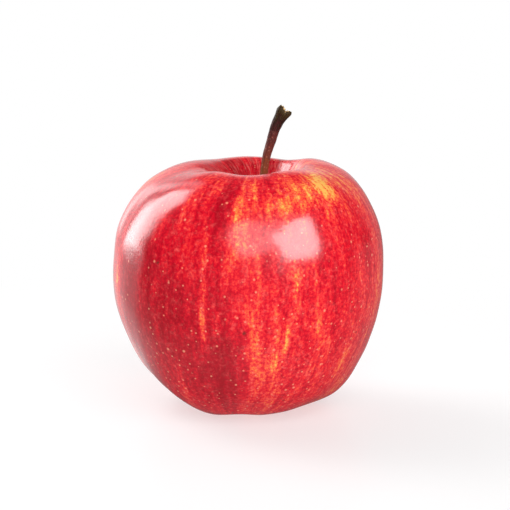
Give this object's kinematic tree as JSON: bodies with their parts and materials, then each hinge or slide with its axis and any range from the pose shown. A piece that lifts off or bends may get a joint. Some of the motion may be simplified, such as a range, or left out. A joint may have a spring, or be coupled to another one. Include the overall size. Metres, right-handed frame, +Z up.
{
  "type": "apple",
  "caption": "Ripe red apple standing upright, with a deep stem cavity, a leaning woody stem with a torn end, and a dried calyx in the basin underneath.",
  "frame": {"origin": "middle of the fruit's footprint, on the ground under its base lobes", "axes": "+Z up from the calyx to the stem, +X the side the stem leans to, -Y the side seen from the front"},
  "size_m": [0.0772, 0.0758, 0.0866],
  "materials": {
    "skin": "glossy waxed skin, crimson streaks over orange-yellow, pale lenticels",
    "stem_bark": "dull dry bark, green-brown at the foot and near black at the torn end",
    "dried_sepal": "matte, dry and downy",
    "dried_stamens": "matte, dry and brittle"
  },
  "bodies": {
    "root": {"fruit": "skin", "stem": "stem_bark", "sepal_1": "dried_sepal", "sepal_2": "dried_sepal", "sepal_3": "dried_sepal", "sepal_4": "dried_sepal", "sepal_5": "dried_sepal", "stamens": "dried_stamens"}
  },
  "joints": []
}
